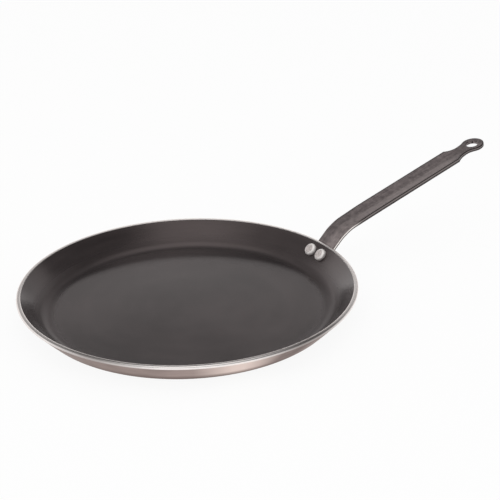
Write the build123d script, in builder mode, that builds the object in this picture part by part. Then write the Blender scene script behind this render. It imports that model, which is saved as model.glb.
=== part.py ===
from build123d import *
from math import asin, cos, degrees, radians, sin, sqrt, tan
import os

# Crepe pan: a shallow pressed pan body and a strip handle held by two rivets.
# Origin at the middle of the base's underside, +Z up, +X along the handle.
# Every length is in millimetres and every angle in degrees.

# Pan body
rim_diameter = 260.0
rim_band = 3.0
pan_height = 20.8
pan_thickness = 3.5
wall_angle = 46.0
base_bend = 10.0
rim_rounding = 1.3

# Rivets
rivet_pitch = 13.2
rivet_drop = 8.3
shank_diameter = 5.0
inner_head_diameter = 10.0
inner_head_height = 3.4
inner_edge_height = 2.2
inner_face_diameter = 6.6
outer_head_diameter = 8.4
outer_head_height = 1.6
set_face_diameter = 6.0
head_edge_height = 0.5
rivet_hole_clearance = 0.1
head_clearance = 0.1

# Handle strip, in side view from the pad on the wall to the hanging eye
strip_width = 20.4
strip_thickness = 2.8
seat_clearance = 0.3
pad_margin = 1.8
pad_corner = 4.5
pad_overlap = 3.0
root_length = 9.4
stem_angle = 32.0
stem_length = 3.0
rise_radius = 32.0
bend_radius = 30.0
grip_angle = 16.0
grip_length = 113.0

# Grip section: a shallow channel pressed along the strip
channel_slope = 9.7
channel_floor_width = 4.0
channel_sink = 0.6
channel_run_in = 22.0
edge_deepening = 0.7

# Hanging eye, neck and shoulders
eye_distance = 23.7
eye_radius = 9.4
eye_hole_diameter = 10.0
eye_hole_offset = 0.7
neck_width = 12.8
neck_radius = 18.5
tail_angle = 12.0

# Overrun of every cutting tool past its stock
overrun = 2.0

# Directions: up along the wall in the handle's plane, and square out of it
up_wall = Vector(cos(radians(wall_angle)), 0, sin(radians(wall_angle)))
out_of_wall = Vector(sin(radians(wall_angle)), 0, -cos(radians(wall_angle)))

# Points of the pan's half section
rim_radius = rim_diameter / 2
mouth_radius = rim_radius - rim_band
mouth_edge = Vector(mouth_radius, 0, pan_height)
wall_rise = pan_height - pan_thickness - base_bend * (1 - up_wall.X)
base_radius = mouth_radius - wall_rise / tan(radians(wall_angle)) - base_bend * up_wall.Z
outer_bend = base_bend + pan_thickness
wall_outside = mouth_edge + out_of_wall * pan_thickness
heel_height = wall_outside.Z - (wall_outside.X - rim_radius) * tan(radians(wall_angle))

# Depths outward from the wall's inner face, square to it
pad_depth = pan_thickness + seat_clearance
strip_back_depth = pad_depth + strip_thickness
rivet_row = mouth_edge - up_wall * rivet_drop
rivet_azimuth = degrees(asin(rivet_pitch / 2 / rivet_row.X))
pad_reach = outer_head_diameter / 2 + pad_margin

os.makedirs("parts", exist_ok=True)


def turned(vector, azimuth):
    """Vector turned about the pan's axis."""
    return vector.rotate(Axis.Z, azimuth)


def rivet_axis(azimuth):
    """Axis of a rivet: from the wall's inner face, square out through the wall."""
    return Axis(turned(rivet_row, azimuth), turned(out_of_wall, azimuth))


def rivet_plane(azimuth):
    """Plane on the wall's inner face at a rivet, facing out along its axis."""
    axis = rivet_axis(azimuth)
    return Plane(origin=axis.position, x_dir=turned(Vector(0, 1, 0), azimuth), z_dir=axis.direction)


# The rivets sit side by side, one on each side of the handle's middle plane
rivet_azimuths = {"rivet_left": rivet_azimuth, "rivet_right": -rivet_azimuth}
rivet_planes = [rivet_plane(azimuth) for azimuth in rivet_azimuths.values()]
hole_radius = shank_diameter / 2 + rivet_hole_clearance
hole_length = 2 * (strip_back_depth + overrun)

# Pan body: one half section turned about the pan's axis, with a turned rim
with BuildPart() as pan_body:
    with BuildSketch(Plane.YZ):
        with BuildLine():
            floor = Line((0, pan_thickness), (base_radius, pan_thickness))
            inner_bend = JernArc(floor @ 1, (1, 0), base_bend, wall_angle)
            wall = Line(inner_bend @ 1, (mouth_radius, pan_height))
            rim_top = Line(wall @ 1, (rim_radius, pan_height))
            rim_side = Line(rim_top @ 1, (rim_radius, heel_height))
            underside = Line((0, 0), (base_radius, 0))
            outer_arc = JernArc(underside @ 1, (1, 0), outer_bend, wall_angle)
            Line(rim_side @ 1, outer_arc @ 1)
            Line((0, 0), floor @ 0)
        make_face()
    revolve(axis=Axis.Z)
    rim_edges = pan_body.edges().filter_by(GeomType.CIRCLE).group_by(Axis.Z)[-1]
    fillet(rim_edges.sort_by(SortBy.RADIUS)[-1], rim_rounding)
    with Locations(rivet_planes):
        Cylinder(radius=hole_radius, height=hole_length, mode=Mode.SUBTRACT)
pan_body.part.label = "pan_body"
export_step(pan_body.part, "parts/pan_body.step")

# Rivets: a thick bevelled head inside the pan, a shank, and a flat set head on the handle
head_seat = -head_clearance
set_seat = strip_back_depth + head_clearance
for name, azimuth in rivet_azimuths.items():
    axis = rivet_axis(azimuth)
    side = turned(Vector(0, 1, 0), azimuth)
    with BuildPart() as rivet:
        with BuildSketch(Plane(origin=axis.position, x_dir=side, z_dir=side.cross(axis.direction))):
            with BuildLine():
                Polyline(
                    (0, head_seat - inner_head_height),
                    (inner_face_diameter / 2, head_seat - inner_head_height),
                    (inner_head_diameter / 2, head_seat - inner_edge_height),
                    (inner_head_diameter / 2, head_seat),
                    (shank_diameter / 2, head_seat),
                    (shank_diameter / 2, set_seat),
                    (outer_head_diameter / 2, set_seat),
                    (outer_head_diameter / 2, set_seat + head_edge_height),
                    (set_face_diameter / 2, set_seat + outer_head_height),
                    (0, set_seat + outer_head_height),
                    close=True,
                )
            make_face()
        revolve(axis=axis)
    rivet.part.label = name
    export_step(rivet.part, f"parts/{name}.step")


def direction(angle):
    """Unit vector in the handle's middle plane, rising at the given angle."""
    return Vector(cos(radians(angle)), 0, sin(radians(angle)))


def across(point, angle):
    """Plane square to the handle at a point, with its Y up out of the strip's face."""
    return Plane(origin=point, x_dir=(0, 1, 0), z_dir=direction(angle))


def strip_section(slope):
    """Section of the strip, its sides pressed up by the given slope, and its edges deepened."""
    half = strip_width / 2
    floor_half = channel_floor_width / 2
    lift = (half - floor_half) * tan(radians(slope))
    sink = channel_sink if slope else 0
    edge_depth = strip_thickness + (edge_deepening if slope else 0)
    heights = [lift - sink, -sink, -sink, lift - sink]
    upper = [Vector(side, height) for side, height in zip((-half, -floor_half, floor_half, half), heights)]
    depths = [edge_depth, strip_thickness, strip_thickness, edge_depth]
    lower = [point - Vector(0, depth) for point, depth in zip(upper, depths)]
    with BuildSketch(mode=Mode.PRIVATE) as section:
        Polygon(*upper, *reversed(lower), align=None)
    return section.sketch


# Side line of the strip's upper face above the pad, drawn flat: along the handle, then up.
# The flat strip crosses the curved pad half way up the pad's hollow.
pad_hollow = (strip_width / 2) ** 2 / rim_diameter * up_wall.Z
strip_start = mouth_edge + out_of_wall * (pad_depth - pad_hollow / 2) - up_wall * pad_overlap
with BuildLine() as side_line:
    root = PolarLine((strip_start.X, strip_start.Z), pad_overlap + root_length, wall_angle)
    rise = JernArc(root @ 1, root % 1, rise_radius, stem_angle - wall_angle)
    stem = PolarLine(rise @ 1, stem_length, stem_angle)
    bend = JernArc(stem @ 1, stem % 1, bend_radius, grip_angle - stem_angle)
grip_start = Vector((bend @ 1).X, 0, (bend @ 1).Y)
channel_start = grip_start + direction(grip_angle) * channel_run_in
shoulder = grip_start + direction(grip_angle) * grip_length
neck_end = shoulder + direction(grip_angle) * (eye_distance - eye_radius)
eye = neck_end + direction(tail_angle) * eye_radius
eye_plane = Plane(origin=eye, x_dir=direction(tail_angle), z_dir=across(eye, tail_angle).y_dir)

# Plan of the tail: neck arcs that run from the shoulders and meet the eye's round
neck_offset = neck_width / 2 + neck_radius
neck_back = sqrt((eye_radius + neck_radius) ** 2 - neck_offset**2)
meet_share = eye_radius / (eye_radius + neck_radius)
with BuildSketch() as tail_plan:
    with Locations((-eye_distance, 0)):
        Rectangle(eye_distance - neck_back * meet_share, strip_width, align=(Align.MIN, Align.CENTER))
    with Locations((-neck_back, neck_offset), (-neck_back, -neck_offset)):
        Circle(neck_radius, mode=Mode.SUBTRACT)
    Circle(eye_radius)
    with Locations((-eye_hole_offset, 0)):
        Circle(eye_hole_diameter / 2, mode=Mode.SUBTRACT)

# Tail: the channel fades out along the neck, and the flat eye is tilted level a little
with BuildPart() as tail:
    with BuildSketch(across(shoulder, grip_angle)):
        add(strip_section(channel_slope))
    with BuildSketch(across(neck_end, tail_angle)):
        add(strip_section(0))
    loft(ruled=True)
    with BuildSketch(across(neck_end, tail_angle)):
        add(strip_section(0))
    extrude(amount=2 * eye_radius + overrun)
    with BuildSketch(eye_plane):
        add(tail_plan.sketch)
    extrude(amount=strip_width, both=True, mode=Mode.INTERSECT)

# Pad: a band that follows the wall's cone, cut to the outline of the strip's lower end
pad_width = rivet_pitch + 2 * pad_reach
pad_foot = rivet_row - up_wall * pad_reach
with BuildPart() as handle:
    with BuildSketch(Plane.YZ):
        depths = (pad_depth, strip_back_depth)
        band = [end + out_of_wall * depth for end in (pad_foot, mouth_edge) for depth in depths]
        Polygon(*[(band[i].X, band[i].Z) for i in (0, 1, 3, 2)], align=None)
    revolve(axis=Axis.Z)
    with BuildSketch(rivet_plane(0)):
        RectangleRounded(pad_width, 2 * pad_reach, pad_corner)
        Rectangle(strip_width, 2 * rivet_drop, align=(Align.CENTER, Align.MIN))
    extrude(amount=strip_back_depth + overrun, mode=Mode.INTERSECT)
    # Stem and bends: flat strip in side view, as wide as the grip
    with BuildSketch(Plane.XZ):
        with BuildLine():
            add(side_line.line)
            offset(amount=strip_thickness, side=Side.RIGHT)
        make_face()
    extrude(amount=strip_width / 2, both=True)
    # Grip: the channel deepens out of the flat strip, then runs to the shoulders
    with BuildSketch(across(grip_start, grip_angle)):
        add(strip_section(0))
    with BuildSketch(across(channel_start, grip_angle)):
        add(strip_section(channel_slope))
    loft(ruled=True)
    with BuildSketch(across(channel_start, grip_angle)):
        add(strip_section(channel_slope))
    extrude(amount=grip_length - channel_run_in)
    add(tail.part)
    with Locations(rivet_planes):
        Cylinder(radius=hole_radius, height=hole_length, mode=Mode.SUBTRACT)
handle.part.label = "handle"
export_step(handle.part, "parts/handle.step")
print("bend", grip_start, "shoulder", shoulder, "eye", eye)
print("handle solids", len(handle.solids()), "valid", handle.part.is_valid)
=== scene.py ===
"""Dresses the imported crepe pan: its spun body, strip handle and rivets, on a pale studio floor.

Every length is in metres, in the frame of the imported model: the origin is at the middle of
the base's underside, +Z is up and +X runs out along the handle.
"""

import logging
import math
from dataclasses import dataclass
from enum import Enum
from typing import Any, Callable, Iterable, Optional, Sequence, Union

import bmesh
import bpy
from mathutils import Matrix, Vector

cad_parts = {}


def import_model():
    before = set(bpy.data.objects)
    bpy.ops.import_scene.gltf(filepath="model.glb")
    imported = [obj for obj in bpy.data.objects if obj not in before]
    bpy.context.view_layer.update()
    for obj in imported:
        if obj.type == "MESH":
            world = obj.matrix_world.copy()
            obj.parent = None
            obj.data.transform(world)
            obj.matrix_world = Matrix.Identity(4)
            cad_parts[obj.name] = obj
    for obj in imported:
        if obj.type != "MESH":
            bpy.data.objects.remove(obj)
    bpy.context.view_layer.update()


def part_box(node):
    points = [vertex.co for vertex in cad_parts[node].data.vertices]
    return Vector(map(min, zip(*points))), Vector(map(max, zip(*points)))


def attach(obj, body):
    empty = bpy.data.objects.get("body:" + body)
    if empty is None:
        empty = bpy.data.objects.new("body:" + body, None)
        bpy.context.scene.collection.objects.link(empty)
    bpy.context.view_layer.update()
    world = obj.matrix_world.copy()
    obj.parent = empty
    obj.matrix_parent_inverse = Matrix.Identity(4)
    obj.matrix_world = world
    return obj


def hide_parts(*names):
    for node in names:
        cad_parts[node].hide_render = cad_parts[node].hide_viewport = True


log = logging.getLogger("crepe_pan")

MM = 0.001
ROOT_BODY = "root"

# Points nearer than this are one point
SAME_POINT = 1e-7

# Angles in degrees at which a rounded edge has its points, from the face to the side
EDGE_TURNS = (90, 60, 30, 0)

Colour = tuple[float, float, float]

# A range, two steps, or a point of a flat drawing
Pair = tuple[float, float]

# A range, and the one that it is moved to
Stretch = tuple[float, float, float, float]

Settings = Optional[dict[str, Any]]
Values = Optional[dict[Union[str, int], Any]]

WHITE: Colour = (1.0, 1.0, 1.0)


class Zone(Enum):
    """Finishes along a half section."""

    COATING = "coating"
    RIM = "rim"
    WALL = "wall"
    BASE = "base"
    RIVET = "rivet"


def math_method(operation: str, swapped: bool = False) -> Callable[..., "Term"]:
    """Method of a Term that adds one Math node.

    Args:
        operation: The node's operation.
        swapped: Whether the other value comes first.

    Returns:
        The method.
    """

    def add_node(self: "Term", other: "Value" = 0.0) -> "Term":
        """Adds the node to the Term's graph."""
        first, second = (other, self) if swapped else (self, other)
        return self.graph.math(operation, first, second)

    return add_node


class Term:
    """A node's output that can be added, scaled and compared like a number."""

    def __init__(self, graph: "Graph", socket: bpy.types.NodeSocket) -> None:
        """Wraps a socket of the graph that new nodes join."""
        self.graph = graph
        self.socket = socket

    __add__ = __radd__ = math_method("ADD")
    __mul__ = __rmul__ = math_method("MULTIPLY")
    __sub__ = math_method("SUBTRACT")
    __rsub__ = math_method("SUBTRACT", swapped=True)
    __truediv__ = math_method("DIVIDE")
    __pow__ = math_method("POWER")
    __mod__ = math_method("FLOORED_MODULO")
    floor = math_method("FLOOR")
    absolute = math_method("ABSOLUTE")
    sine = math_method("SINE")
    cosine = math_method("COSINE")
    arctan2 = math_method("ARCTAN2")
    above = math_method("GREATER_THAN")
    larger = math_method("MAXIMUM")


Value = Union[Term, int, float]


@dataclass(frozen=True)
class Grain:
    """Noise on a surface: features per metre, number of finer layers, and their strength."""

    scale: float
    detail: float = 2.0
    roughness: float = 0.6


@dataclass(frozen=True)
class Relief:
    """Metres that a height of 1 stands for, and the share of them that shows."""

    depth: float
    strength: float = 0.6


class Graph:
    """A node tree of either kind, filled by one node-making method."""

    NOISE_RANGE: Pair = (0.3, 0.7)

    # Places of a Mix node's two colours among its inputs, and of the mixed one among its outputs
    MIX_FIRST, MIX_SECOND, MIX_RESULT = 6, 7, 2

    def __init__(self, tree: bpy.types.NodeTree) -> None:
        """Starts with the tree as it is."""
        self.tree = tree

    @classmethod
    def emptied(cls, owner: Union[bpy.types.Material, bpy.types.World]) -> "Graph":
        """Graph of a material's or a world's own tree, with nothing in it.

        Args:
            owner: The material or world.

        Returns:
            The graph.
        """
        owner.use_nodes = True
        owner.node_tree.nodes.clear()
        return cls(owner.node_tree)

    def fill(self, made: bpy.types.Node, values: Values) -> None:
        """Fills a node's sockets.

        Args:
            made: The node.
            values: Socket names or indices, with the plain value, Term or output for each.
        """
        for key, value in (values or {}).items():
            socket = made.inputs[key]
            source = value.socket if isinstance(value, Term) else value
            if isinstance(source, bpy.types.NodeSocket):
                self.tree.links.new(source, socket)
            elif socket.type == "RGBA":
                socket.default_value = (*source, 1.0)
            else:
                socket.default_value = source

    def node(self, kind: str, settings: Settings = None, values: Values = None) -> bpy.types.Node:
        """Makes a node, sets it up, and fills its sockets.

        Args:
            kind: The node's type name, such as ShaderNodeTexNoise.
            settings: Its attributes, set first.
            values: Socket names or indices, with the plain value, Term or output for each.

        Returns:
            The new node.
        """
        made = self.tree.nodes.new(kind)
        for name, value in (settings or {}).items():
            setattr(made, name, value)
        self.fill(made, values)
        return made

    def out(self, made: bpy.types.Node, output: Union[str, int] = 0) -> Term:
        """One output of a node, by its name or index."""
        return Term(self, made.outputs[output])

    def term(self, kind: str, settings: Settings = None, values: Values = None) -> Term:
        """First output of a new node."""
        return self.out(self.node(kind, settings, values))

    def math(self, operation: str, first: Value, second: Value) -> Term:
        """Result of a Math node."""
        return self.term("ShaderNodeMath", {"operation": operation}, {0: first, 1: second})

    def span(
        self, value: Value, low: float, high: float, to_low: float = 0.0, to_high: float = 1.0
    ) -> Term:
        """Value moved from one range to another, held at both ends.

        Args:
            value: The value to move.
            low: Start of its range.
            high: End of its range.
            to_low: What the start becomes.
            to_high: What the end becomes.

        Returns:
            The moved value.
        """
        names = ("Value", "From Min", "From Max", "To Min", "To Max")
        values = dict(zip(names, (value, low, high, to_low, to_high)))
        return self.term("ShaderNodeMapRange", {"clamp": True}, values)

    def spread(self, noise: Term, low: float, high: float) -> Term:
        """Noise drawn out between two values."""
        return self.span(noise, *self.NOISE_RANGE, low, high)

    def blend(self, factor: Value, first: Union[Colour, Term], second: Union[Colour, Term]) -> Term:
        """Mix of two colours.

        Args:
            factor: Share of the second colour.
            first: The first colour.
            second: The second colour.

        Returns:
            The mixed colour.
        """
        values = {0: factor, self.MIX_FIRST: first, self.MIX_SECOND: second}
        return self.out(self.node("ShaderNodeMix", {"data_type": "RGBA"}, values), self.MIX_RESULT)

    def noise(self, vector: Term, grain: Grain) -> Term:
        """Fractal noise, about 0.5 on average.

        Args:
            vector: Where the noise is read.
            grain: Its scale and fineness.

        Returns:
            The noise value.
        """
        values = {
            "Vector": vector,
            "Scale": grain.scale,
            "Detail": grain.detail,
            "Roughness": grain.roughness,
        }
        return self.term("ShaderNodeTexNoise", {}, values)

    def vector(self, x: Value, y: Value, z: Value) -> Term:
        """Vector from three values."""
        return self.term("ShaderNodeCombineXYZ", {}, {0: x, 1: y, 2: z})

    def parts(self, vector: Term) -> tuple[Term, Term, Term]:
        """The three values of a vector."""
        made = self.node("ShaderNodeSeparateXYZ", {}, {0: vector})
        return self.out(made, 0), self.out(made, 1), self.out(made, 2)

    def coordinates(self, kind: str) -> Term:
        """Texture coordinates of one kind, such as Object."""
        return self.out(self.node("ShaderNodeTexCoord"), kind)

    def attribute(self, name: str) -> Term:
        """A mesh's own stored value, by its name."""
        return self.out(self.node("ShaderNodeAttribute", {"attribute_name": name}), "Fac")

    def bump(self, height: Value, relief: Relief) -> Term:
        """Normal bent by a height from 0 to 1."""
        values = {"Strength": relief.strength, "Distance": relief.depth, "Height": height}
        return self.term("ShaderNodeBump", {}, values)


class Finish:
    """A finish, made as one material. Each kind says what its Principled shader takes."""

    name: str

    def sockets(self, graph: Graph) -> Values:
        """What each socket of the shader takes."""
        raise NotImplementedError

    def build(self) -> bpy.types.Material:
        """Makes the material.

        Returns:
            The material, with one Principled shader.
        """
        material = bpy.data.materials.new(self.name)
        graph = Graph.emptied(material)
        shader = graph.node("ShaderNodeBsdfPrincipled")
        graph.node("ShaderNodeOutputMaterial", {}, {"Surface": shader.outputs[0]})
        graph.fill(shader, self.sockets(graph))
        return material


@dataclass(frozen=True)
class Sector:
    """Share over a part of the way round the pan, in degrees: full near its middle, none past its end."""

    middle: float
    full: float
    end: float
    share: float = 1.0


@dataclass(frozen=True)
class RoundCoordinates:
    """Object coordinates read the way a lathe sees them."""

    point: Term
    radius: Term
    angle: Term
    height: Term

    @classmethod
    def read(cls, graph: Graph) -> "RoundCoordinates":
        """Adds the nodes that give radius, angle and height.

        Args:
            graph: The material's graph.

        Returns:
            The coordinates.
        """
        point = graph.coordinates("Object")
        x, y, z = graph.parts(point)
        return cls(point, (x * x + y * y) ** 0.5, y.arctan2(x), z)

    def stretched(self, share: float) -> Term:
        """Radius, height and a share of the angle: noise read there runs round the pan."""
        return self.angle.graph.vector(self.radius, self.height, self.angle * share)

    def over(self, sector: Sector) -> Term:
        """The share that a sector gives each place.

        Args:
            sector: The sector.

        Returns:
            The share.
        """
        turn = (self.angle + (3 * math.pi - math.radians(sector.middle))) % math.tau
        off = (turn - math.pi).absolute()
        full, end = math.radians(sector.full), math.radians(sector.end)
        return self.angle.graph.span(off, full, end, sector.share, 0.0)


@dataclass(frozen=True)
class CoatedInterior(Finish):
    """Dark release coating on the cooking surface, with a fine sprayed grain, duller in the bend."""

    bend_start: float
    bend_end: float
    name: str = "pan_coating"
    shade: Colour = (0.010, 0.0080, 0.0085)
    light_shade: Colour = (0.038, 0.0305, 0.031)
    tint: Colour = (1.0, 0.84, 0.82)
    gloss: float = 0.9
    patches: Grain = Grain(9.0, 3.0, 0.55)
    patch_share: float = 0.9
    arcs: Grain = Grain(110.0, 3.0)
    arc_share: float = 0.45
    arc_stretch: float = 0.012
    speckle: Grain = Grain(1500.0)
    speckle_share: float = 0.2
    tones: Pair = (0.58, 0.98)
    relief: Relief = Relief(0.00006, 0.5)
    roughness: Pair = (0.10, 0.17)
    bend_fade: float = 0.006
    bend_roughness: float = 0.22

    def sockets(self, graph: Graph) -> Values:
        """Patches, faint arcs and speckle, with duller gloss in the bend.

        Args:
            graph: The material's graph.

        Returns:
            What each socket takes.
        """
        place = RoundCoordinates.read(graph)
        patches = graph.noise(place.point, self.patches)
        speckle = graph.noise(place.point, self.speckle)
        around = graph.vector(place.radius, place.angle * self.arc_stretch, place.height)
        arcs = graph.noise(around, self.arcs)
        mixed = patches * self.patch_share + arcs * self.arc_share + speckle * self.speckle_share
        into_bend = graph.span(place.radius, self.bend_start - self.bend_fade, self.bend_start)
        past_bend = graph.span(place.radius, self.bend_end, self.bend_end + self.bend_fade)
        dull = graph.spread(patches, *self.roughness)
        return {
            "Base Color": graph.blend(graph.span(mixed, *self.tones), self.shade, self.light_shade),
            "Roughness": dull + (into_bend - past_bend) * self.bend_roughness,
            "Specular IOR Level": self.gloss,
            "Specular Tint": self.tint,
            "Normal": graph.bump(speckle, self.relief),
        }


@dataclass(frozen=True)
class TurnedRim(Finish):
    """Bare aluminium rim, turned bright on a lathe."""

    lip_radius: float
    name: str = "turned_rim"
    colour: Colour = (0.92, 0.87, 0.85)
    dull_and_shade_colour: Colour = (0.36, 0.33, 0.32)
    tint: Colour = (1.0, 0.95, 0.93)
    lip_fade: float = 0.0008
    lip_share: float = 0.25
    # Painted shade in bands round the rim, at the left and near the front, and a painted highlight bar at
    # the front middle
    rim_painted_shade_left: Sector = Sector(-150.0, 70.0, 115.0, 0.20)
    rim_painted_shade_front: Sector = Sector(-116.0, 38.0, 56.0, 0.95)
    rim_painted_highlight: Sector = Sector(-116.0, 14.0, 34.0)
    grooves: Grain = Grain(5200.0, 1.0, 0.5)
    groove_stretch: float = 0.0004
    smudges: Grain = Grain(24.0, 2.0, 0.5)
    smudge_share: float = 0.6
    relief: Relief = Relief(0.00002)
    roughness: Pair = (0.18, 0.28)

    def sockets(self, graph: Graph) -> Values:
        """Bright turned metal, with painted shade on its outer side at the left and near the front, and a
        painted highlight at the front middle.

        Args:
            graph: The material's graph.

        Returns:
            What each socket takes.
        """
        place = RoundCoordinates.read(graph)
        grooves = graph.noise(place.stretched(self.groove_stretch), self.grooves)
        smudges = graph.noise(place.point, self.smudges)
        lip_end = self.lip_radius + self.lip_fade
        outward = graph.span(place.radius, self.lip_radius, lip_end, self.lip_share)
        # Painted shade: the outer part of the rim is darkened towards the dull colour in those bands,
        # except under the painted highlight bar and most of the inner lip
        painted_shade_bands = place.over(self.rim_painted_shade_front) + place.over(self.rim_painted_shade_left)
        dull = painted_shade_bands * (1 - place.over(self.rim_painted_highlight)) * outward
        share = dull * (smudges * self.smudge_share + self.smudge_share)
        return {
            "Base Color": graph.blend(share, self.colour, self.dull_and_shade_colour),
            "Metallic": 1.0,
            "Specular Tint": self.tint,
            "Roughness": graph.spread(smudges, *self.roughness),
            "Normal": graph.bump(grooves, self.relief),
        }


@dataclass(frozen=True)
class SatinWall(Finish):
    """Bare aluminium outside, satin, with fine streaks that run round the pan."""

    name: str = "satin_wall"
    colour: Colour = (0.36, 0.30, 0.285)
    dull_and_shade_colour: Colour = (0.055, 0.046, 0.044)
    painted_highlight_colour: Colour = (0.85, 0.75, 0.70)
    painted_shadow_colour: Colour = (0.05, 0.035, 0.03)
    tint: Colour = (1.0, 0.87, 0.83)
    # Painted shade at the left and painted highlights near the front, and the share of them that shows: 0
    # leaves them out
    marked: float = 1.0
    wall_painted_shade_left: Sector = Sector(-150.0, 75.0, 115.0, 0.5)
    painted_light: Sector = Sector(-113.0, 12.0, 34.0, 0.7)
    painted_highlight_patch: Sector = Sector(-105.0, 2.0, 15.0, 0.9)
    # Painted shadow along the foot: full up to the first height, gone at the second
    shadow_full: float = 0.0034
    shadow_end: float = 0.0085
    shadow_share: float = 0.95
    streaks: Grain = Grain(1400.0, 3.0)
    streak_stretch: float = 0.004
    smudges: Grain = Grain(14.0, 3.0, 0.55)
    tones: Stretch = (0.8, 1.2, 0.0, 0.6)
    relief: Relief = Relief(0.00003)
    roughness: Pair = (0.34, 0.46)

    def sockets(self, graph: Graph) -> Values:
        """Streaked metal, with painted shade at the left, painted highlights near the front and a painted
        shadow at the foot.

        Args:
            graph: The material's graph.

        Returns:
            What each socket takes.
        """
        place = RoundCoordinates.read(graph)
        streaks = graph.noise(place.stretched(self.streak_stretch), self.streaks)
        smudges = graph.noise(place.point, self.smudges)
        # Painted shade at the left, less a painted highlight at the front middle, added to the streaks'
        # tone
        darkening = (place.over(self.wall_painted_shade_left) - place.over(self.painted_light)) * self.marked
        tone = graph.span(streaks + smudges, *self.tones) + darkening
        brushed = graph.blend(tone, self.colour, self.dull_and_shade_colour)
        # Painted highlight: a bright patch near the front
        wall_with_highlight = graph.blend(place.over(self.painted_highlight_patch) * self.marked, brushed, self.painted_highlight_colour)
        # Painted shadow darkens the foot of the wall
        painted_foot_shadow = graph.span(place.height, self.shadow_full, self.shadow_end, self.shadow_share, 0.0)
        return {
            "Base Color": graph.blend(painted_foot_shadow, wall_with_highlight, self.painted_shadow_colour),
            "Metallic": 1.0,
            "Specular Tint": self.tint,
            "Roughness": graph.spread(smudges, *self.roughness),
            "Normal": graph.bump(streaks, self.relief),
        }


@dataclass(frozen=True)
class DarkStrip(Finish):
    """Dark strip steel: grain along its length, mottled scale, dark arrises, one half of the grip painted
    lighter as if lit, and sides painted with a highlight near the pan.
    """

    name: str = "dark_strip"
    shade: Colour = (0.135, 0.113, 0.115)
    pale_shade: Colour = (0.440, 0.376, 0.368)
    arris_shade: Colour = (0.030, 0.026, 0.026)
    side_shade: Colour = (0.20, 0.175, 0.17)
    # Painted highlight on the side faces near the pan
    painted_side_highlight: Colour = (0.95, 0.90, 0.86)
    metallic: float = 0.95
    grain: Grain = Grain(900.0)
    grain_stretch: float = 0.04
    grain_tone: float = 0.5
    grain_relief: float = 0.6
    mottle: Grain = Grain(240.0, 4.0, 0.65)
    tones: Stretch = (0.50, 1.00, 0.0, 0.7)
    # One half of the grip painted lighter as if lit: the width of its fade across the middle, and how much
    # lighter
    painted_light_edge: float = 0.0022
    painted_light_share: float = 0.42
    near_pan_end: float = 0.040
    # Where the painted lighter half fades out towards the tail, and the share of it that the tail keeps
    tail_start: float = 0.146
    fade: float = 0.010
    tail_share: float = 0.1
    arris_tones: Stretch = (0.2, 0.8, 0.0, 0.95)
    arris_fade_near_pan: float = 0.8
    side_edge: Pair = (0.35, 0.8)
    low_side_range: Pair = (0.5, 0.62)
    relief: Relief = Relief(0.00005, 0.7)
    roughness: Pair = (0.36, 0.52)
    bare_polish: float = 0.12

    def sockets(self, graph: Graph) -> Values:
        """Reads the strip's own map: along, then across.

        Args:
            graph: The material's graph.

        Returns:
            What each socket takes.
        """
        strip = graph.term("ShaderNodeUVMap", {"uv_map": StripHandle.MAP})
        along, across, _ = graph.parts(strip)
        grain = graph.noise(graph.vector(along * self.grain_stretch, across, 0.0), self.grain)
        mottle = graph.noise(strip, self.mottle)
        # Painted light: one half of the grip is painted lighter, weaker on the tail
        painted_light = graph.span(across, -self.painted_light_edge, self.painted_light_edge, self.painted_light_share, 0.0)
        on_grip = graph.span(along, self.tail_start, self.tail_start + self.fade, 1.0, self.tail_share)
        tone = graph.span(mottle + grain * self.grain_tone, *self.tones) + painted_light * on_grip
        near_pan = graph.span(along, self.near_pan_end, self.near_pan_end + self.fade, 1.0, 0.0)
        # The arrises are darker, less so near the pan
        dark_arris = graph.span(graph.attribute(StripHandle.ARRIS) * (mottle + 0.5), *self.arris_tones)
        face = graph.blend(
            dark_arris * (1 - near_pan * self.arris_fade_near_pan),
            graph.blend(tone, self.shade, self.pale_shade),
            self.arris_shade,
        )
        # Painted highlight: the side faces are painted nearly white near the pan
        side_with_highlight = graph.blend(near_pan, self.side_shade, self.painted_side_highlight)
        # The side faces are darker towards their lower edge
        low_side_dark = graph.span(graph.attribute(StripHandle.LOW), *self.low_side_range)
        side = graph.blend(low_side_dark, side_with_highlight, self.arris_shade)
        flank = graph.span(graph.attribute(StripHandle.SIDE), *self.side_edge)
        dull = graph.spread(mottle, *self.roughness)
        return {
            "Base Color": graph.blend(flank, face, side),
            "Metallic": self.metallic,
            "Roughness": dull - flank * near_pan * self.bare_polish,
            "Normal": graph.bump(grain * self.grain_relief + mottle, self.relief),
        }


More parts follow.
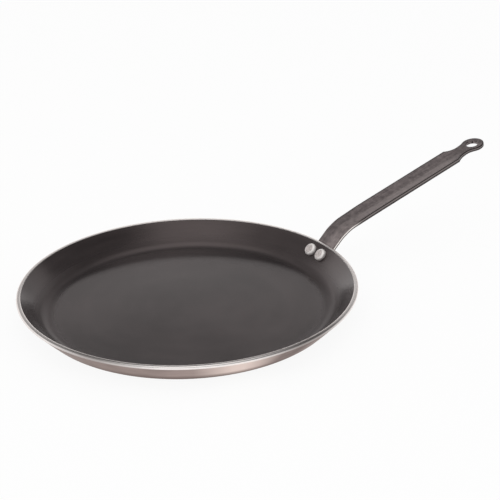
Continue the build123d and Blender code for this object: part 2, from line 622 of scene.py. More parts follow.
@dataclass(frozen=True)
class RivetMetal(Finish):
    """Matte aluminium of the rivets, with the small dents of the setting tool."""

    name: str = "rivet_metal"
    colour: Colour = (0.74, 0.67, 0.65)
    shadow_colour: Colour = (0.52, 0.47, 0.45)
    # Painted highlight on the bevel round the head's face
    painted_bevel_highlight: Colour = (0.95, 0.91, 0.89)
    bevel_highlight_share: float = 0.9
    first_bevel: int = 4
    metallic: float = 0.5
    dents: Grain = Grain(520.0, 2.0, 0.5)
    dent_edge: Pair = (0.35, 0.65)
    frost: Grain = Grain(4200.0)
    frost_share: float = 0.15
    relief: Relief = Relief(0.00025)
    roughness: Pair = (0.42, 0.58)

    def sockets(self, graph: Graph) -> Values:
        """Dented face inside a bevel painted paler as a highlight.

        Args:
            graph: The material's graph.

        Returns:
            What each socket takes.
        """
        point = graph.coordinates("Object")
        dents = graph.noise(point, self.dents)
        frost = graph.noise(point, self.frost)
        face = graph.blend(graph.span(dents, *self.dent_edge), self.shadow_colour, self.colour)
        spans = graph.attribute(Lathe.SPAN)
        before, past = self.first_bevel - 0.5, self.first_bevel + 0.5
        # Painted highlight: the bevel's spans are painted paler
        on_bevel = graph.span(spans, before, past, 0.0, self.bevel_highlight_share)
        return {
            "Base Color": graph.blend(on_bevel, face, self.painted_bevel_highlight),
            "Metallic": self.metallic,
            "Roughness": graph.spread(frost, *self.roughness),
            "Normal": graph.bump(dents + frost * self.frost_share, self.relief),
        }


def added(name: str, data: Union[bpy.types.Mesh, bpy.types.Camera, bpy.types.Light]) -> bpy.types.Object:
    """New object in the scene, at the origin.

    Args:
        name: The object's name.
        data: What it holds.

    Returns:
        The object.
    """
    data.name = name
    made = bpy.data.objects.new(name, data)
    bpy.context.scene.collection.objects.link(made)
    return made


def object_from_mesh(
    name: str,
    vertices: Iterable[Sequence[float]],
    edges: Sequence[Sequence[int]] = (),
    faces: Sequence[Sequence[int]] = (),
) -> bpy.types.Object:
    """New mesh object from lists of its parts.

    Args:
        name: The object's and the mesh's name.
        vertices: Its points.
        edges: Its loose edges.
        faces: Its faces.

    Returns:
        The object.
    """
    mesh = bpy.data.meshes.new(name)
    mesh.from_pydata([tuple(v) for v in vertices], edges, faces)
    return added(name, mesh)


def baked(source: bpy.types.Object, name: str) -> bpy.types.Object:
    """Plain mesh object from what a source object evaluates to. The source is removed.

    Args:
        source: The object with live modifiers.
        name: The new object's name.

    Returns:
        The plain object, at the origin.
    """
    bpy.context.view_layer.update()
    evaluated = source.evaluated_get(bpy.context.evaluated_depsgraph_get())
    mesh = bpy.data.meshes.new_from_object(evaluated)
    bpy.data.objects.remove(source)
    return added(name, mesh)


def face_outwards(made: bpy.types.Object) -> None:
    """Closes doubled points and turns every face of a closed piece outwards.

    Args:
        made: The object whose mesh is mended.
    """
    work = bmesh.new()
    work.from_mesh(made.data)
    bmesh.ops.remove_doubles(work, verts=work.verts, dist=SAME_POINT)
    bmesh.ops.recalc_face_normals(work, faces=work.faces)
    work.to_mesh(made.data)
    work.free()


def arc(centre: Pair, radius: float, start: float, end: float, steps: int) -> list[Pair]:
    """Points on an arc, both ends included.

    Args:
        centre: The arc's centre.
        radius: Its radius.
        start: Angle of its first point, in degrees.
        end: Angle of its last point, in degrees.
        steps: Number of spans.

    Returns:
        The points.
    """
    angles = [math.radians(start + (end - start) * i / steps) for i in range(steps + 1)]
    return [(centre[0] + radius * math.cos(a), centre[1] + radius * math.sin(a)) for a in angles]


def smooth_share(share: float) -> float:
    """Share held between 0 and 1 and eased at both ends."""
    held = min(1.0, max(0.0, share))
    return held * held * (3.0 - 2.0 * held)


class PieceTree:
    """Geometry Nodes tree with a named input for each size."""

    def __init__(self, name: str, sizes: dict[str, str]) -> None:
        """Starts the tree with its inputs and its output.

        Args:
            name: The tree's name.
            sizes: The name of each size, with its kind of socket.
        """
        self.tree = bpy.data.node_groups.new(name, "GeometryNodeTree")
        self.graph = Graph(self.tree)
        self.identifiers: dict[str, str] = {}
        for label, kind in {"Source": "Geometry", **sizes}.items():
            made = self.tree.interface.new_socket(label, in_out="INPUT", socket_type=f"NodeSocket{kind}")
            self.identifiers[label] = made.identifier
        self.tree.interface.new_socket("Piece", in_out="OUTPUT", socket_type="NodeSocketGeometry")
        given = self.graph.node("NodeGroupInput")
        self.given = [self.graph.out(given, label) for label in self.identifiers]

    def run(self, source: bpy.types.Object, name: str, sizes: dict[str, float]) -> bpy.types.Object:
        """Runs the tree on a source object, which it uses up.

        Args:
            source: The object that the tree starts from.
            name: The new object's name.
            sizes: The value of each named size.

        Returns:
            The plain mesh object that the tree makes.
        """
        modifier = source.modifiers.new("tree", "NODES")
        modifier.node_group = self.tree
        for label, size in sizes.items():
            modifier[self.identifiers[label]] = size
        return baked(source, name)


@dataclass(frozen=True)
class Profile:
    """Points of a half section, with the number of spans that each finish covers."""

    points: list[Pair]
    spans: dict[Zone, int]


class Lathe(PieceTree):
    """Tree that turns a half section about the Z axis and gives each span its finish."""

    SPAN = "span"

    def __init__(self, name: str, profile: Profile, materials: dict[Zone, bpy.types.Material]) -> None:
        """Builds the tree.

        Args:
            name: The tree's name.
            profile: The half section to turn.
            materials: The finish of each zone.
        """
        super().__init__(name, {"Profile points": "Int", "Segments": "Int"})
        self.profile = profile
        graph = self.graph
        source, count, segments = self.given
        ring = segments + 1
        grid = graph.term("GeometryNodeMeshGrid", {}, {"Vertices X": count, "Vertices Y": ring})
        index = graph.term("GeometryNodeInputIndex")
        place = graph.term("GeometryNodeInputPosition")
        sampled = graph.term(
            "GeometryNodeSampleIndex",
            {"data_type": "FLOAT_VECTOR"},
            {"Geometry": source, "Value": place, "Index": (index / ring).floor()},
        )
        radius, _, height = graph.parts(sampled)
        turn = (index % ring) * math.tau / segments
        turned = graph.vector(radius * turn.cosine(), radius * turn.sine(), height)
        placed = graph.term("GeometryNodeSetPosition", {}, {"Geometry": grid, "Position": turned})
        marked = graph.term(
            "GeometryNodeStoreNamedAttribute",
            {"data_type": "INT", "domain": "FACE"},
            {"Geometry": placed, "Name": self.SPAN, "Value": (index / segments).floor()},
        )
        merged = graph.term("GeometryNodeMergeByDistance", {}, {"Geometry": marked, "Distance": SAME_POINT})
        smooth = graph.term("GeometryNodeSetShadeSmooth", {}, {"Geometry": merged})
        shown = graph.term("GeometryNodeRealizeInstances", {}, {"Geometry": smooth})
        span = graph.term("GeometryNodeInputNamedAttribute", {"data_type": "INT"}, {"Name": self.SPAN})
        start = 0
        for zone, length in profile.spans.items():
            chosen = span.above(start - 0.5) * (1 - span.above(start + length - 0.5))
            values = {"Geometry": shown, "Selection": chosen, "Material": materials[zone]}
            shown = graph.term("GeometryNodeSetMaterial", {}, values)
            start += length
        graph.node("NodeGroupOutput", {}, {0: shown})

    def turn(self, name: str, segments: int) -> bpy.types.Object:
        """Turns the half section into a plain mesh object.

        Args:
            name: The new object's name.
            segments: Number of faces round the axis.

        Returns:
            The turned object.
        """
        points = [(r, 0.0, z) for r, z in self.profile.points]
        edges = [(i, i + 1) for i in range(len(points) - 1)]
        source = object_from_mesh(f"{name}_profile", points, edges)
        return self.run(source, name, {"Profile points": len(points), "Segments": segments})


@dataclass
class PanBody:
    """The pan: flat base, low flared wall and turned rim, coated inside."""

    rim_radius: float
    height: float
    rim_band: float = 3.0 * MM
    thickness: float = 3.5 * MM
    wall_angle: float = 46.0
    base_bend: float = 10.0 * MM
    rim_rounding: float = 1.3 * MM
    lip: float = 0.6 * MM
    rivet_drop: float = 8.3 * MM
    edge_break: float = 0.25 * MM
    heel_break: float = 0.35 * MM
    segments: int = 288
    bend_steps: int = 18
    rim_steps: int = 10

    # Rows of points beside the edges, in edge breaks, which keep their shading crisp
    inner_rows: Pair = (2.5, 1.0)
    outer_rows: Pair = (1.0, 2.0)
    heel_rows: Pair = (1.8, 1.0)

    @property
    def mouth_radius(self) -> float:
        """Radius of the rim's inner edge."""
        return self.rim_radius - self.rim_band

    @property
    def base_radius(self) -> float:
        """Radius of the flat part of the base.

        Returns:
            The radius.
        """
        angle = math.radians(self.wall_angle)
        rise = self.height - self.thickness - self.base_bend * (1 - math.cos(angle))
        return self.mouth_radius - rise / math.tan(angle) - self.base_bend * math.sin(angle)

    @property
    def wall_foot_radius(self) -> float:
        """Radius at which the inside bend runs into the wall."""
        return self.base_radius + self.base_bend * math.sin(math.radians(self.wall_angle))

    def profile(self) -> Profile:
        """Half section from the middle of the floor, over the rim, to the middle of the underside.

        Returns:
            The half section.
        """
        angle = math.radians(self.wall_angle)
        turn = -90.0 + self.wall_angle
        past_rim = self.mouth_radius + self.thickness / math.sin(angle) - self.rim_radius
        heel = self.height - past_rim * math.tan(angle)
        inner, outer = self.base_bend, self.base_bend + self.thickness
        floor = [(0.0, self.thickness), (self.base_radius * 0.5, self.thickness)]
        bend = arc((self.base_radius, self.thickness + inner), inner, -90.0, turn, self.bend_steps)
        down_wall = [
            (self.mouth_radius - back * math.cos(angle), self.height - back * math.sin(angle))
            for back in (self.edge_break * row for row in self.inner_rows)
        ]
        coating = floor + bend + down_wall
        corner = (self.rim_radius - self.rim_rounding, self.height - self.rim_rounding)
        rim = [(self.mouth_radius + self.edge_break * row, self.height) for row in self.outer_rows]
        rim += arc(corner, self.rim_rounding, 90.0, 0.0, self.rim_steps)
        rim += [(self.rim_radius, heel + self.heel_break * row) for row in self.heel_rows]
        heel_out = [
            (self.rim_radius - down * math.cos(angle), heel - down * math.sin(angle))
            for down in (self.heel_break * row for row in self.outer_rows)
        ]
        wall = heel_out + arc((self.base_radius, outer), outer, turn, -90.0, self.bend_steps)
        base = [(self.base_radius * 0.5, 0.0), (0.0, 0.0)]
        spans = {
            Zone.COATING: len(coating) - 1,
            Zone.RIM: len(rim) + 1,
            Zone.WALL: len(wall) - 1,
            Zone.BASE: len(base),
        }
        return Profile(coating + rim + wall + base, spans)

    def build(self) -> bpy.types.Object:
        """Turns the pan from its half section and sets it on its body.

        Returns:
            The pan's visual piece.
        """
        # The underside takes the wall's finish without the painted shade and highlight sectors, and with a
        # weaker painted shadow
        base = SatinWall(
            name="satin_base",
            colour=(0.55, 0.50, 0.48),
            dull_and_shade_colour=(0.26, 0.23, 0.22),
            marked=0.0,
            shadow_share=0.3,
            streaks=Grain(700.0, 3.0),
            relief=Relief(0.00005),
        )
        finishes = {
            Zone.COATING: CoatedInterior(self.base_radius, self.wall_foot_radius),
            Zone.RIM: TurnedRim(self.mouth_radius + self.lip),
            Zone.WALL: SatinWall(),
            Zone.BASE: base,
        }
        materials = {zone: finish.build() for zone, finish in finishes.items()}
        made = Lathe("pan_lathe", self.profile(), materials).turn("pan_shell", self.segments)
        face_outwards(made)
        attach(made, ROOT_BODY)
        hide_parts("pan_body")
        return made


@dataclass(frozen=True)
class Spot:
    """Point of the strip: its place, its map, and its arris, side-face and low shares."""

    place: Vector
    along: float
    side: float
    shares: tuple[float, float, float] = (1.0, 0.0, 0.0)


@dataclass
class StripHandle:
    """The strip handle: pad, stem, bend, channelled grip, neck and eye."""

    MAP = "strip_map"
    ARRIS = "arris_share"
    SIDE = "side_share"
    LOW = "low_share"
    RUNS_BEFORE_GRIP = 4
    CORNER_TURNS = range(15, 91, 15)
    EYE_TURNS = range(0, 76, 9)

    pan: PanBody
    seat_clearance: float = 0.3 * MM
    width: float = 20.4 * MM
    thickness: float = 2.8 * MM
    pad_width: float = 25.2 * MM
    pad_reach: float = 6.0 * MM
    pad_corner: float = 4.5 * MM
    root_length: float = 9.4 * MM
    rise_radius: float = 32.0 * MM
    stem_angle: float = 32.0
    stem_length: float = 3.0 * MM
    bend_radius: float = 30.0 * MM
    grip_angle: float = 16.0
    grip_length: float = 113.0 * MM
    channel_slope: float = 9.7
    channel_floor_half: float = 2.0 * MM
    channel_sink: float = 0.6 * MM
    channel_lead: float = 5.0 * MM
    channel_run_in: float = 22.0 * MM
    edge_deepening: float = 0.7 * MM
    tail_angle: float = 12.0
    tail_bend: float = 3.0 * MM
    eye_distance: float = 23.7 * MM
    eye_radius: float = 9.4 * MM
    hole_radius: float = 5.0 * MM
    hole_offset: float = 0.7 * MM
    hole_steps: int = 72
    neck_width: float = 12.8 * MM
    neck_radius: float = 18.5 * MM
    edge_rounding: float = 0.45 * MM
    cup_run_out: float = 12.0 * MM
    spacing: float = 1.1 * MM
    halvings: int = 36
    weld: float = 0.002 * MM
    cutter_height: float = 2.0 * MM
    flare_lead: float = 0.02 * MM

    # Points of a section: across its flat face, as shares of that face's half width, the least
    # share of the whole half width for each edge point and the step between them, how dark each
    # edge point is painted, and down the side face, as shares of its height
    face_shares: tuple[float, ...] = (0.0, 0.08, 0.17, 0.27, 0.4, 0.55, 0.7, 0.86)
    least_share: float = 0.7
    share_step: float = 0.1
    edge_darkness: tuple[float, ...] = (0.12, 0.7, 1.0, 1.0, 0.8)
    side_shares: tuple[float, ...] = (0.2, 0.45, 0.55, 0.8)

    @property
    def foot_back(self) -> float:
        """How far down the wall from the mouth the pad's foot is."""
        return self.pan.rivet_drop + self.pad_reach

    @property
    def seat_depth(self) -> float:
        """Depth of the pad's upper face, outward from the wall's inner face."""
        return self.pan.thickness + self.seat_clearance

    def runs(self) -> list[tuple[float, float, float]]:
        """The side line's runs, from the pad's foot to the far end of the eye.

        Returns:
            Each run's length, and the angle at each of its ends, in radians.
        """
        angles = (self.pan.wall_angle, self.stem_angle, self.grip_angle, self.tail_angle)
        wall, stem, grip, tail = (math.radians(a) for a in angles)
        half_bend = self.tail_bend / 2
        return [
            (self.foot_back + self.root_length, wall, wall),
            (self.rise_radius * (wall - stem), wall, stem),
            (self.stem_length, stem, stem),
            (self.bend_radius * (stem - grip), stem, grip),
            (self.grip_length + self.eye_distance - self.eye_radius - half_bend, grip, grip),
            (self.tail_bend, grip, tail),
            (2 * self.eye_radius - half_bend, tail, tail),
        ]

    def frame_at(self, along: float) -> tuple[Vector, Vector, Vector]:
        """Place and directions of the upper face's middle line.

        Args:
            along: Distance along the line from the pad's foot.

        Returns:
            The point, the unit vector that runs on towards the eye, and the one up out of the face.
        """
        wall = math.radians(self.pan.wall_angle)
        x = self.pan.mouth_radius + self.seat_depth * math.sin(wall) - self.foot_back * math.cos(wall)
        z = self.pan.height - self.seat_depth * math.cos(wall) - self.foot_back * math.sin(wall)
        angle = wall
        for length, first, last in self.runs():
            share = min(1.0, along / length)
            angle = first + (last - first) * share
            if first == last:
                x += length * share * math.cos(first)
                z += length * share * math.sin(first)
            else:
                radius = length / (first - last)
                x += radius * (math.sin(first) - math.sin(angle))
                z += radius * (math.cos(angle) - math.cos(first))
            along -= length
            if along <= 0.0:
                break
        run = Vector((math.cos(angle), 0.0, math.sin(angle)))
        return Vector((x, 0.0, z)), run, Vector((-run.z, 0.0, run.x))

    @property
    def grip_start(self) -> float:
        """Distance along the side line at which the grip starts."""
        return sum(length for length, _, _ in self.runs()[: self.RUNS_BEFORE_GRIP])

    @property
    def shoulder(self) -> float:
        """Distance along the side line of the shoulders."""
        return self.grip_start + self.grip_length

    @property
    def eye(self) -> float:
        """Distance along the side line of the eye's centre."""
        return sum(length for length, _, _ in self.runs()) - self.eye_radius

    @property
    def neck_centre(self) -> Pair:
        """Centre of a neck arc: how far before the eye, and how far to the side."""
        side = self.neck_width / 2 + self.neck_radius
        return math.sqrt((self.eye_radius + self.neck_radius) ** 2 - side**2), side

    @property
    def neck_meets(self) -> float:
        """How far before the eye's centre the neck arcs meet its round."""
        return self.neck_centre[0] * self.eye_radius / (self.eye_radius + self.neck_radius)

    def inside(self, along: float, side: float) -> float:
        """How far a point of the flat plan lies inside the strip's outline.

        Args:
            along: Distance along the side line.
            side: Distance from the middle line.

        Returns:
            The distance to the outline, below zero outside it.
        """
        side = abs(side)
        up = along - self.pad_reach
        over = (abs(up) - self.pad_reach + self.pad_corner, side - self.pad_width / 2 + self.pad_corner)
        pad = self.pad_corner - math.hypot(max(over[0], 0.0), max(over[1], 0.0)) - min(max(over), 0.0)
        strip = self.width / 2 - side if up > 0.0 else -1.0
        back, centre = self.neck_centre
        past_eye = along - self.eye
        if past_eye > -self.neck_meets:
            return self.eye_radius - math.hypot(past_eye, side)
        if past_eye > -self.eye_distance:
            strip = min(strip, math.hypot(past_eye + back, centre - side) - self.neck_radius)
        return max(pad, strip)

    def reach(self, along: float, inset: float) -> float:
        """Half width of the outline, drawn in by an inset.

        Args:
            along: Distance along the side line.
            inset: How far inside the outline.

        Returns:
            The half width, or zero where the inset outline has ended.
        """
        low, high = 0.0, self.pad_width
        if self.inside(along, 0.0) < inset:
            return 0.0
        for _ in range(self.halvings):
            middle = (low + high) / 2
            if self.inside(along, middle) >= inset:
                low = middle
            else:
                high = middle
        return low

    def crown(self, along: float, side: float) -> float:
        """Height of the upper face above the side line: the pad's cup and the grip's channel.

        Args:
            along: Distance along the side line.
            side: Distance from the middle line.

        Returns:
            The height.
        """
        cup = 1.0 - smooth_share((along - self.foot_back) / self.cup_run_out)
        hollow = cup * side**2 * math.sin(math.radians(self.pan.wall_angle)) / (2 * self.pan.mouth_radius)
        climb = math.hypot(side, self.channel_floor_half) - self.channel_floor_half
        lift = climb * math.tan(math.radians(self.channel_slope))
        return hollow + (lift - self.channel_sink) * self.pressed(along)

    def pressed(self, along: float) -> float:
        """How fully the grip's channel is pressed: it fades in past the bend and out along the neck.

        Args:
            along: Distance along the side line.

        Returns:
            The share, from 0 to 1.
        """
        start = self.grip_start - self.channel_lead
        run_in = smooth_share((along - start) / (self.channel_lead + self.channel_run_in))
        run_out = smooth_share((along - self.shoulder) / (self.eye_distance - self.eye_radius))
        return run_in * (1.0 - run_out)

    def depth(self, along: float, side: float) -> float:
        """Thickness of the strip, deeper towards the grip's edges."""
        share = max(side - self.channel_floor_half, 0.0) / (self.width / 2 - self.channel_floor_half)
        return self.thickness + self.edge_deepening * share * self.pressed(along)

    def drop(self, inset: float) -> float:
        """How far the rounded edge has fallen from the face at an inset from the outline."""
        short = min(max(self.edge_rounding - inset, 0.0), self.edge_rounding)
        return self.edge_rounding - math.sqrt(self.edge_rounding**2 - short**2)

    def edge_insets(self) -> list[float]:
        """How far inside the outline the rounded edge has its points, from the face to the side."""
        return [self.edge_rounding * (1 - math.cos(math.radians(turn))) for turn in EDGE_TURNS]

    def section(self, along: float) -> list[tuple[float, float, float, float, float]]:
        """Right half of a section's ring, from the middle of the top round to the middle below.

        Args:
            along: Distance along the side line.

        Returns:
            Side distance, height over the side line, and arris, side-face and low shares of each point.
        """
        full = self.reach(along, 0.0)
        widths = [
            max(self.reach(along, inset), full * (self.least_share + self.share_step * i))
            for i, inset in enumerate(self.edge_insets())
        ]
        sides = [share * widths[0] for share in self.face_shares] + widths
        darkening = [0.0] * (len(sides) - len(self.edge_darkness)) + [*self.edge_darkness]
        upper, under = [], []
        for side, arris in zip(sides, darkening):
            crown = self.crown(along, side)
            drop = self.drop(self.inside(along, side))
            upper.append((side, crown - drop, arris, 0.0, 0.0))
            under.append((side, crown - self.depth(along, side) + drop, arris, 0.0, 1.0))
        top, bottom = upper[-1][1], under[-1][1]
        flank = [(full, top + (bottom - top) * share, 0.0, 1.0, share) for share in self.side_shares]
        return upper + flank + under[::-1]

    def stations(self) -> list[float]:
        """Places for the strip's sections, close together at both ends.

        Returns:
            Their distances along the side line.
        """
        insets = self.edge_insets()
        end = self.eye + self.eye_radius
        corner = [self.pad_corner * (1 - math.cos(math.radians(a))) for a in self.CORNER_TURNS]
        stops = insets + corner + [2 * self.pad_reach - c for c in corner]
        stops += [self.grip_start, self.grip_start + self.channel_run_in, self.shoulder]
        stops += [self.eye - self.neck_centre[0], self.eye - self.neck_meets]
        stops += [self.eye + self.eye_radius * math.sin(math.radians(a)) for a in self.EYE_TURNS]
        stops += [end - inset for inset in insets]
        stops = sorted(set(stops))
        places: list[float] = []
        for first, last in zip(stops, stops[1:]):
            steps = max(1, math.ceil((last - first) / self.spacing))
            places += [first + (last - first) * i / steps for i in range(steps)]
        return places + [end]

    def swept(self, name: str, rings: list[list[Spot]], material: bpy.types.Material) -> bpy.types.Object:
        """Closed object through rings of points, with the strip's map and shares.

        Args:
            name: The object's name.
            rings: The rings, each with as many points.
            material: The finish.

        Returns:
            The object.
        """
        work = bmesh.new()
        uv = work.loops.layers.uv.new(self.MAP)
        layers = [work.verts.layers.float.new(label) for label in (self.ARRIS, self.SIDE, self.LOW)]
        maps: dict[bmesh.types.BMVert, Pair] = {}
        rows: list[list[bmesh.types.BMVert]] = []
        for ring in rings:
            rows.append([work.verts.new(spot.place) for spot in ring])
            for vertex, spot in zip(rows[-1], ring):
                maps[vertex] = (spot.along, spot.side)
                for layer, share in zip(layers, spot.shares):
                    vertex[layer] = share
        for first, second in zip(rows, rows[1:]):
            for i, vertex in enumerate(first):
                after = (i + 1) % len(first)
                work.faces.new((vertex, first[after], second[after], second[i]))
        for row in (rows[0], rows[-1]):
            work.faces.new(row)
        for face in work.faces:
            face.smooth = True
            for loop in face.loops:
                loop[uv].uv = maps[loop.vert]
        bmesh.ops.remove_doubles(work, verts=work.verts, dist=self.weld)
        bmesh.ops.dissolve_degenerate(work, edges=work.edges, dist=self.weld / 2)
        bmesh.ops.recalc_face_normals(work, faces=work.faces)
        mesh = bpy.data.meshes.new(name)
        work.to_mesh(mesh)
        work.free()
        mesh.materials.append(material)
        return added(name, mesh)

    def strip(self, material: bpy.types.Material) -> bpy.types.Object:
        """Sweeps the sections along the side line.

        Args:
            material: The strip's finish.

        Returns:
            The closed strip, still without its hole.
        """
        rings = []
        for along in self.stations():
            point, _, up = self.frame_at(along)
            half = self.section(along)
            both = [(-p[0], *p[1:]) for p in half] + half[-2:0:-1]
            rings.append(
                [
                    Spot(point + up * height + Vector((0.0, side, 0.0)), along, side, tuple(shares))
                    for side, height, *shares in both
                ]
            )
        return self.swept("strip_handle", rings, material)

    def hole_cutter(self, material: bpy.types.Material) -> bpy.types.Object:
        """Cutter of the hanging hole, flared so that it rounds the hole's edges.

        Args:
            material: The finish of the hole's wall.

        Returns:
            The cutter, in place.
        """
        edge = self.edge_rounding
        point, run, up = self.frame_at(self.eye - self.hole_offset)
        upper = [
            (self.hole_radius + 2 * edge, self.cutter_height),
            (self.hole_radius + edge, self.flare_lead),
        ]
        upper += arc((self.hole_radius + edge, -edge), edge, 90.0, 180.0, len(EDGE_TURNS) - 1)
        lower = [(r, -self.thickness - z) for r, z in reversed(upper)]
        turns = [math.tau * i / self.hole_steps for i in range(self.hole_steps)]
        rings = []
        for r, z in upper + lower:
            centre = point + up * z
            ring = [(r * math.cos(turn), Vector((0.0, r * math.sin(turn), 0.0))) for turn in turns]
            places = [centre + run * ahead + across for ahead, across in ring]
            rings.append([Spot(place, self.eye, place.y) for place in places])
        return self.swept("hole_cutter", rings, material)

    def build(self) -> bpy.types.Object:
        """Makes the strip, cuts its hole and sets it on its body.

        Returns:
            The handle's visual piece.
        """
        material = DarkStrip().build()
        strip = self.strip(material)
        cutter = self.hole_cutter(material)
        cut = strip.modifiers.new("hole", "BOOLEAN")
        cut.operation, cut.solver, cut.object = "DIFFERENCE", "EXACT", cutter
        made = baked(strip, "handle_strip")
        bpy.data.objects.remove(cutter)
        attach(made, ROOT_BODY)
        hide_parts("handle")
        return made


class RivetRow(PieceTree):
    """Tree that stands rivets in a row round the pan's axis."""

    def __init__(self, rivet: bpy.types.Object, material: bpy.types.Material) -> None:
        """Builds the tree.

        Args:
            rivet: The rivet to repeat, along Z.
            material: The rivets' finish.
        """
        labels = ("Row radius", "Row height", "Turn between", "Lean")
        super().__init__("rivet_row", {"Count": "Int", **{label: "Float" for label in labels}})
        graph = self.graph
        _, count, radius, height, between, lean = self.given
        index = graph.term("GeometryNodeInputIndex")
        turn = (index - (count - 1) / 2) * between
        place = graph.vector(radius * turn.cosine(), radius * turn.sine(), height)
        points = graph.term("GeometryNodePoints", {}, {"Count": count, "Position": place})
        shape = graph.node("GeometryNodeObjectInfo", {}, {"Object": rivet})
        stood = graph.term(
            "GeometryNodeInstanceOnPoints",
            {},
            {
                "Points": points,
                "Instance": graph.out(shape, "Geometry"),
                "Rotation": graph.vector(0.0, 0.0 - lean, turn),
            },
        )
        real = graph.term("GeometryNodeRealizeInstances", {}, {"Geometry": stood})
        dressed = graph.term("GeometryNodeSetMaterial", {}, {"Geometry": real, "Material": material})
        graph.node("NodeGroupOutput", {}, {0: dressed})


@dataclass
class RivetPair:
    """The two rivets, side by side across the handle: thick heads inside, set heads outside."""

    handle: StripHandle
    count: int = 2
    pitch: float = 13.2 * MM
    clearance: float = 0.1 * MM
    shank_radius: float = 2.5 * MM
    head_radius: float = 5.0 * MM
    head_height: float = 3.4 * MM
    head_edge: float = 2.1 * MM
    face_radius: float = 3.2 * MM
    face_crown: float = 0.18 * MM
    edge_break: float = 0.1 * MM
    set_radius: float = 4.2 * MM
    set_height: float = 1.6 * MM
    set_face_radius: float = 2.7 * MM
    segments: int = 48

    # The thick head: points across its crowned face, as shares of the face's radius, the bevel's
    # top, out and down from the face, its foot, in from the side, then up along the bevel and
    # swollen a little, and the corner's points, in from the side and up from the edge
    face_shares: tuple[float, ...] = (0.0, 0.3, 0.6, 0.85, 1.0)
    bevel_top: Pair = (0.35 * MM, 0.16 * MM)
    bevel_inset: float = 0.7 * MM
    bevel_run: float = 0.75 * MM
    bevel_swell: float = 0.06 * MM
    head_corner: tuple[Pair, ...] = ((0.2 * MM, 0.12 * MM), (0.0, -0.35 * MM))

    # The set head: its corner's points, in from the side and down from the seat, its face's
    # rounded edge, and the flat share of its face
    set_corner: tuple[Pair, ...] = ((0.12 * MM, 0.55 * MM), (0.7 * MM, 1.15 * MM))
    set_edge: float = 0.08 * MM
    set_flat: float = 0.8

    def profile(self) -> Profile:
        """Half section along a rivet's own axis: Z up out of the pan's inner face.

        Returns:
            The half section.
        """
        seat = self.clearance
        top = seat + self.head_height
        face = [(self.face_radius * share, top - self.face_crown * share**2) for share in self.face_shares]
        face_edge = top - self.face_crown
        edge = seat + self.head_edge
        bevel = (face_edge - edge) / (self.head_radius - self.face_radius)
        shoulder = [
            (self.face_radius + self.bevel_top[0], face_edge - self.bevel_top[1]),
            (self.head_radius - self.bevel_inset, edge + self.bevel_run * bevel + self.bevel_swell),
            *((self.head_radius - inset, edge + lift) for inset, lift in self.head_corner),
        ]
        under = -self.handle.seat_depth - self.handle.thickness - self.clearance
        shank = [
            (self.head_radius, seat + self.edge_break),
            (self.head_radius - self.edge_break, seat),
            (self.shank_radius, seat),
            (self.shank_radius, under),
        ]
        set_head = [
            (self.set_radius - self.edge_break, under),
            (self.set_radius, under - self.edge_break),
            *((self.set_radius - inset, under - down) for inset, down in self.set_corner),
            (self.set_face_radius, under - self.set_height + self.set_edge),
            (self.set_face_radius * self.set_flat, under - self.set_height),
            (0.0, under - self.set_height),
        ]
        points = face + shoulder + shank + set_head
        return Profile(points, {Zone.RIVET: len(points) - 1})

    def build(self) -> bpy.types.Object:
        """Turns one rivet, stands the row, and sets it on its body.

        Returns:
            The rivets' visual piece.
        """
        pan = self.handle.pan
        wall = math.radians(pan.wall_angle)
        metal = RivetMetal().build()
        one = Lathe("rivet_lathe", self.profile(), {Zone.RIVET: metal}).turn("one_rivet", self.segments)
        radius = pan.mouth_radius - pan.rivet_drop * math.cos(wall)
        sizes = {
            "Count": self.count,
            "Row radius": radius,
            "Row height": pan.height - pan.rivet_drop * math.sin(wall),
            "Turn between": 2 * math.asin(self.pitch / 2 / radius),
            "Lean": wall,
        }
        host = object_from_mesh("rivet_row", [(0.0, 0.0, 0.0)])
        made = RivetRow(one, metal).run(host, "rivets", sizes)
        bpy.data.objects.remove(one)
        face_outwards(made)
        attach(made, ROOT_BODY)
        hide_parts("rivet_left", "rivet_right")
        return made


@dataclass(frozen=True)
class Lamp:
    """Soft square lamp: its place in the camera's level view, its side, and its power in watts."""

    name: str
    right: float
    forward: float
    up: float
    size: float
    power: float


@dataclass(frozen=True)
class Glow:
    """Soft light or shade in the surroundings, for gloss alone.

    It stands some degrees to the right of what is behind the pan, and some degrees up. Its
    width is in degrees too, and its amount is below zero for shade.
    """

    side: float
    lift: float
    width: float
    amount: float


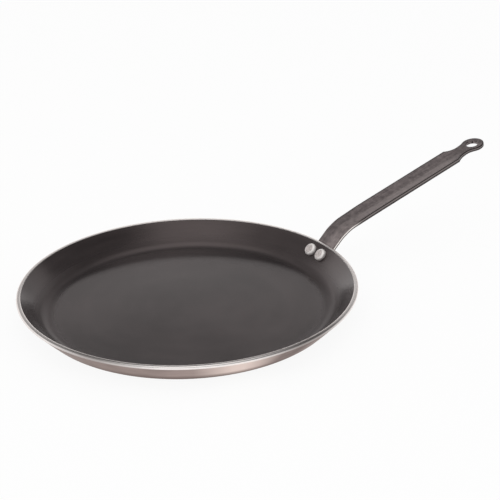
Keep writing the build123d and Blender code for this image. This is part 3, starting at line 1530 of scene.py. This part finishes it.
@dataclass(frozen=True)
class Studio:
    """Pale floor, white surroundings, soft lamps and the camera."""

    azimuth: float = -33.1
    elevation: float = 24.375
    roll: float = 1.44
    lens: float = 108.0
    sensor: float = 36.0
    clip: Pair = (0.05, 50.0)
    right_of_origin: float = 0.048265
    above_origin: float = 0.044324
    distance: float = 1.153413
    floor_size: float = 6.0
    floor_drop: float = 0.0001
    floor_colour: Colour = (0.92, 0.92, 0.92)
    floor_show: float = 0.92
    surround: float = 0.74
    backdrop_top: float = 0.388
    backdrop_knee: float = 0.434
    backdrop_end: float = 0.480
    knee_light: float = 0.66
    ceiling: float = 0.24
    right_fade: Pair = (0.2, 0.6)
    right_light: float = 0.60
    glows: tuple[Glow, ...] = (
        Glow(0.0, 86.0, 35.0, 0.90),
        Glow(-174.0, 60.0, 34.0, 0.40),
        Glow(85.0, 46.0, 25.0, 0.08),
        Glow(0.0, 33.0, 12.0, -0.16),
        Glow(21.0, 15.0, 14.0, -0.40),
        Glow(-18.0, 17.0, 14.0, -0.35),
        Glow(35.0, 13.0, 14.0, -0.08),
        Glow(-105.0, 48.0, 40.0, 0.26),
    )
    lamps: tuple[Lamp, ...] = (
        Lamp("left_softbox", -0.85, -0.3, 0.9, 0.7, 1.0),
        Lamp("front_softbox", 0.0, -0.62, 1.2, 1.0, 2.8),
    )
    lit_point: tuple[float, float, float] = (0.05, 0.0, 0.02)

    def axes(self) -> tuple[Vector, Vector, Vector]:
        """Directions of the photograph's view, before the camera's roll.

        Returns:
            The directions right, up and forward.
        """
        side, lift = math.radians(self.azimuth), math.radians(self.elevation)
        back = Vector((math.sin(side) * math.cos(lift), -math.cos(side) * math.cos(lift), math.sin(lift)))
        right = Vector((math.cos(side), math.sin(side), 0.0))
        return right, back.cross(right), -back

    def level(self) -> tuple[Vector, Vector]:
        """The view's right direction, and its forward direction along the floor."""
        right, _, forward = self.axes()
        return right, Vector((forward.x, forward.y, 0.0)).normalized()

    def camera(self) -> None:
        """Stands the camera at the photograph's viewpoint."""
        right, up, forward = self.axes()
        roll = math.radians(self.roll)
        own_right = right * math.cos(roll) - up * math.sin(roll)
        own_up = right * math.sin(roll) + up * math.cos(roll)
        place = right * self.right_of_origin + up * self.above_origin - forward * self.distance
        lens = bpy.data.cameras.new("photo_camera")
        lens.lens, lens.sensor_width = self.lens, self.sensor
        lens.clip_start, lens.clip_end = self.clip
        made = added("photo_camera", lens)
        turn = Matrix((own_right, own_up, -forward)).transposed()
        made.matrix_world = Matrix.Translation(place) @ turn.to_4x4()
        bpy.context.scene.camera = made

    @staticmethod
    def rays(graph: Graph) -> tuple[Term, Term]:
        """Kinds of ray that are told apart.

        Args:
            graph: The graph of the floor or the world.

        Returns:
            1 for rays from the camera or through glass, and 1 for a mirror's.
        """
        path = graph.node("ShaderNodeLightPath")
        through = graph.out(path, "Is Transmission Ray")
        return graph.out(path, "Is Camera Ray").larger(through), graph.out(path, "Is Glossy Ray")

    def floor(self) -> None:
        """Pale floor that looks white and still keeps the pan's soft shadow."""
        half = self.floor_size / 2
        low = -self.floor_drop
        corners = [(-half, -half, low), (half, -half, low), (half, half, low), (-half, half, low)]
        made = object_from_mesh("floor", corners, faces=[(0, 1, 2, 3)])
        material = bpy.data.materials.new("floor")
        graph = Graph.emptied(material)
        plain_view, glossy = self.rays(graph)
        matte = graph.term("ShaderNodeBsdfDiffuse", {}, {"Color": self.floor_colour})
        white = graph.term("ShaderNodeEmission", {}, {"Color": WHITE, "Strength": 1.0})
        share = plain_view.larger(glossy) * self.floor_show
        mixed = graph.term("ShaderNodeMixShader", {}, {0: share, 1: matte, 2: white})
        graph.node("ShaderNodeOutputMaterial", {}, {"Surface": mixed})
        made.data.materials.append(material)

    def world(self) -> None:
        """White surroundings: full white to the camera, a white backdrop under a dim ceiling in metal."""
        world = bpy.data.worlds.new("white_room")
        bpy.context.scene.world = world
        graph = Graph.emptied(world)
        plain_view, glossy = self.rays(graph)
        x, y, height = graph.parts(graph.coordinates("Generated"))
        right, level = self.level()
        to_right = graph.span(x * right.x + y * right.y, *self.right_fade, 1.0, self.right_light)
        fall = self.knee_light - self.ceiling
        upper = graph.span(height, self.backdrop_knee, self.backdrop_end, 0.0, fall)
        backdrop = graph.span(height, self.backdrop_top, self.backdrop_knee, 1.0, self.knee_light) - upper
        for glow in self.glows:
            bearing, rise = math.radians(glow.side), math.radians(glow.lift)
            aim = (level * math.cos(bearing) + right * math.sin(bearing)) * math.cos(rise)
            near = x * aim.x + y * aim.y + height * math.sin(rise)
            backdrop += graph.span(near, math.cos(math.radians(glow.width)), 1.0, 0.0, glow.amount)
        lit = glossy * backdrop * to_right + (1 - glossy) * self.surround
        strength = plain_view + (1 - plain_view) * lit
        light = graph.term("ShaderNodeBackground", {}, {"Color": WHITE, "Strength": strength})
        graph.node("ShaderNodeOutputWorld", {}, {"Surface": light})

    def place_lamp(self, lamp: Lamp) -> None:
        """Places a soft lamp that faces the pan. In gloss, the surroundings' own glows stand for it.

        Args:
            lamp: The lamp.
        """
        right, level = self.level()
        place = right * lamp.right + level * lamp.forward + Vector((0.0, 0.0, lamp.up))
        light = bpy.data.lights.new(lamp.name, "AREA")
        light.shape, light.size, light.energy = "SQUARE", lamp.size, lamp.power
        made = added(lamp.name, light)
        turn = (Vector(self.lit_point) - place).to_track_quat("-Z", "Y").to_matrix().to_4x4()
        made.matrix_world = Matrix.Translation(place) @ turn
        made.visible_glossy = False

    def build(self) -> None:
        """Sets up the whole studio and the plain view."""
        self.floor()
        self.world()
        for lamp in self.lamps:
            self.place_lamp(lamp)
        self.camera()
        bpy.context.scene.view_settings.view_transform = "Standard"


def main() -> None:
    """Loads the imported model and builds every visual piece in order."""
    logging.basicConfig(level=logging.INFO, format="%(name)s: %(message)s")
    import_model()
    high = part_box("pan_body")[1]
    pan = PanBody(rim_radius=high[0], height=high[2])
    handle = StripHandle(pan)
    for part in (pan, handle, RivetPair(handle)):
        piece = part.build()
        log.info("%s: %d faces", piece.name, len(piece.data.polygons))
    Studio().build()


if __name__ == "__main__":
    main()
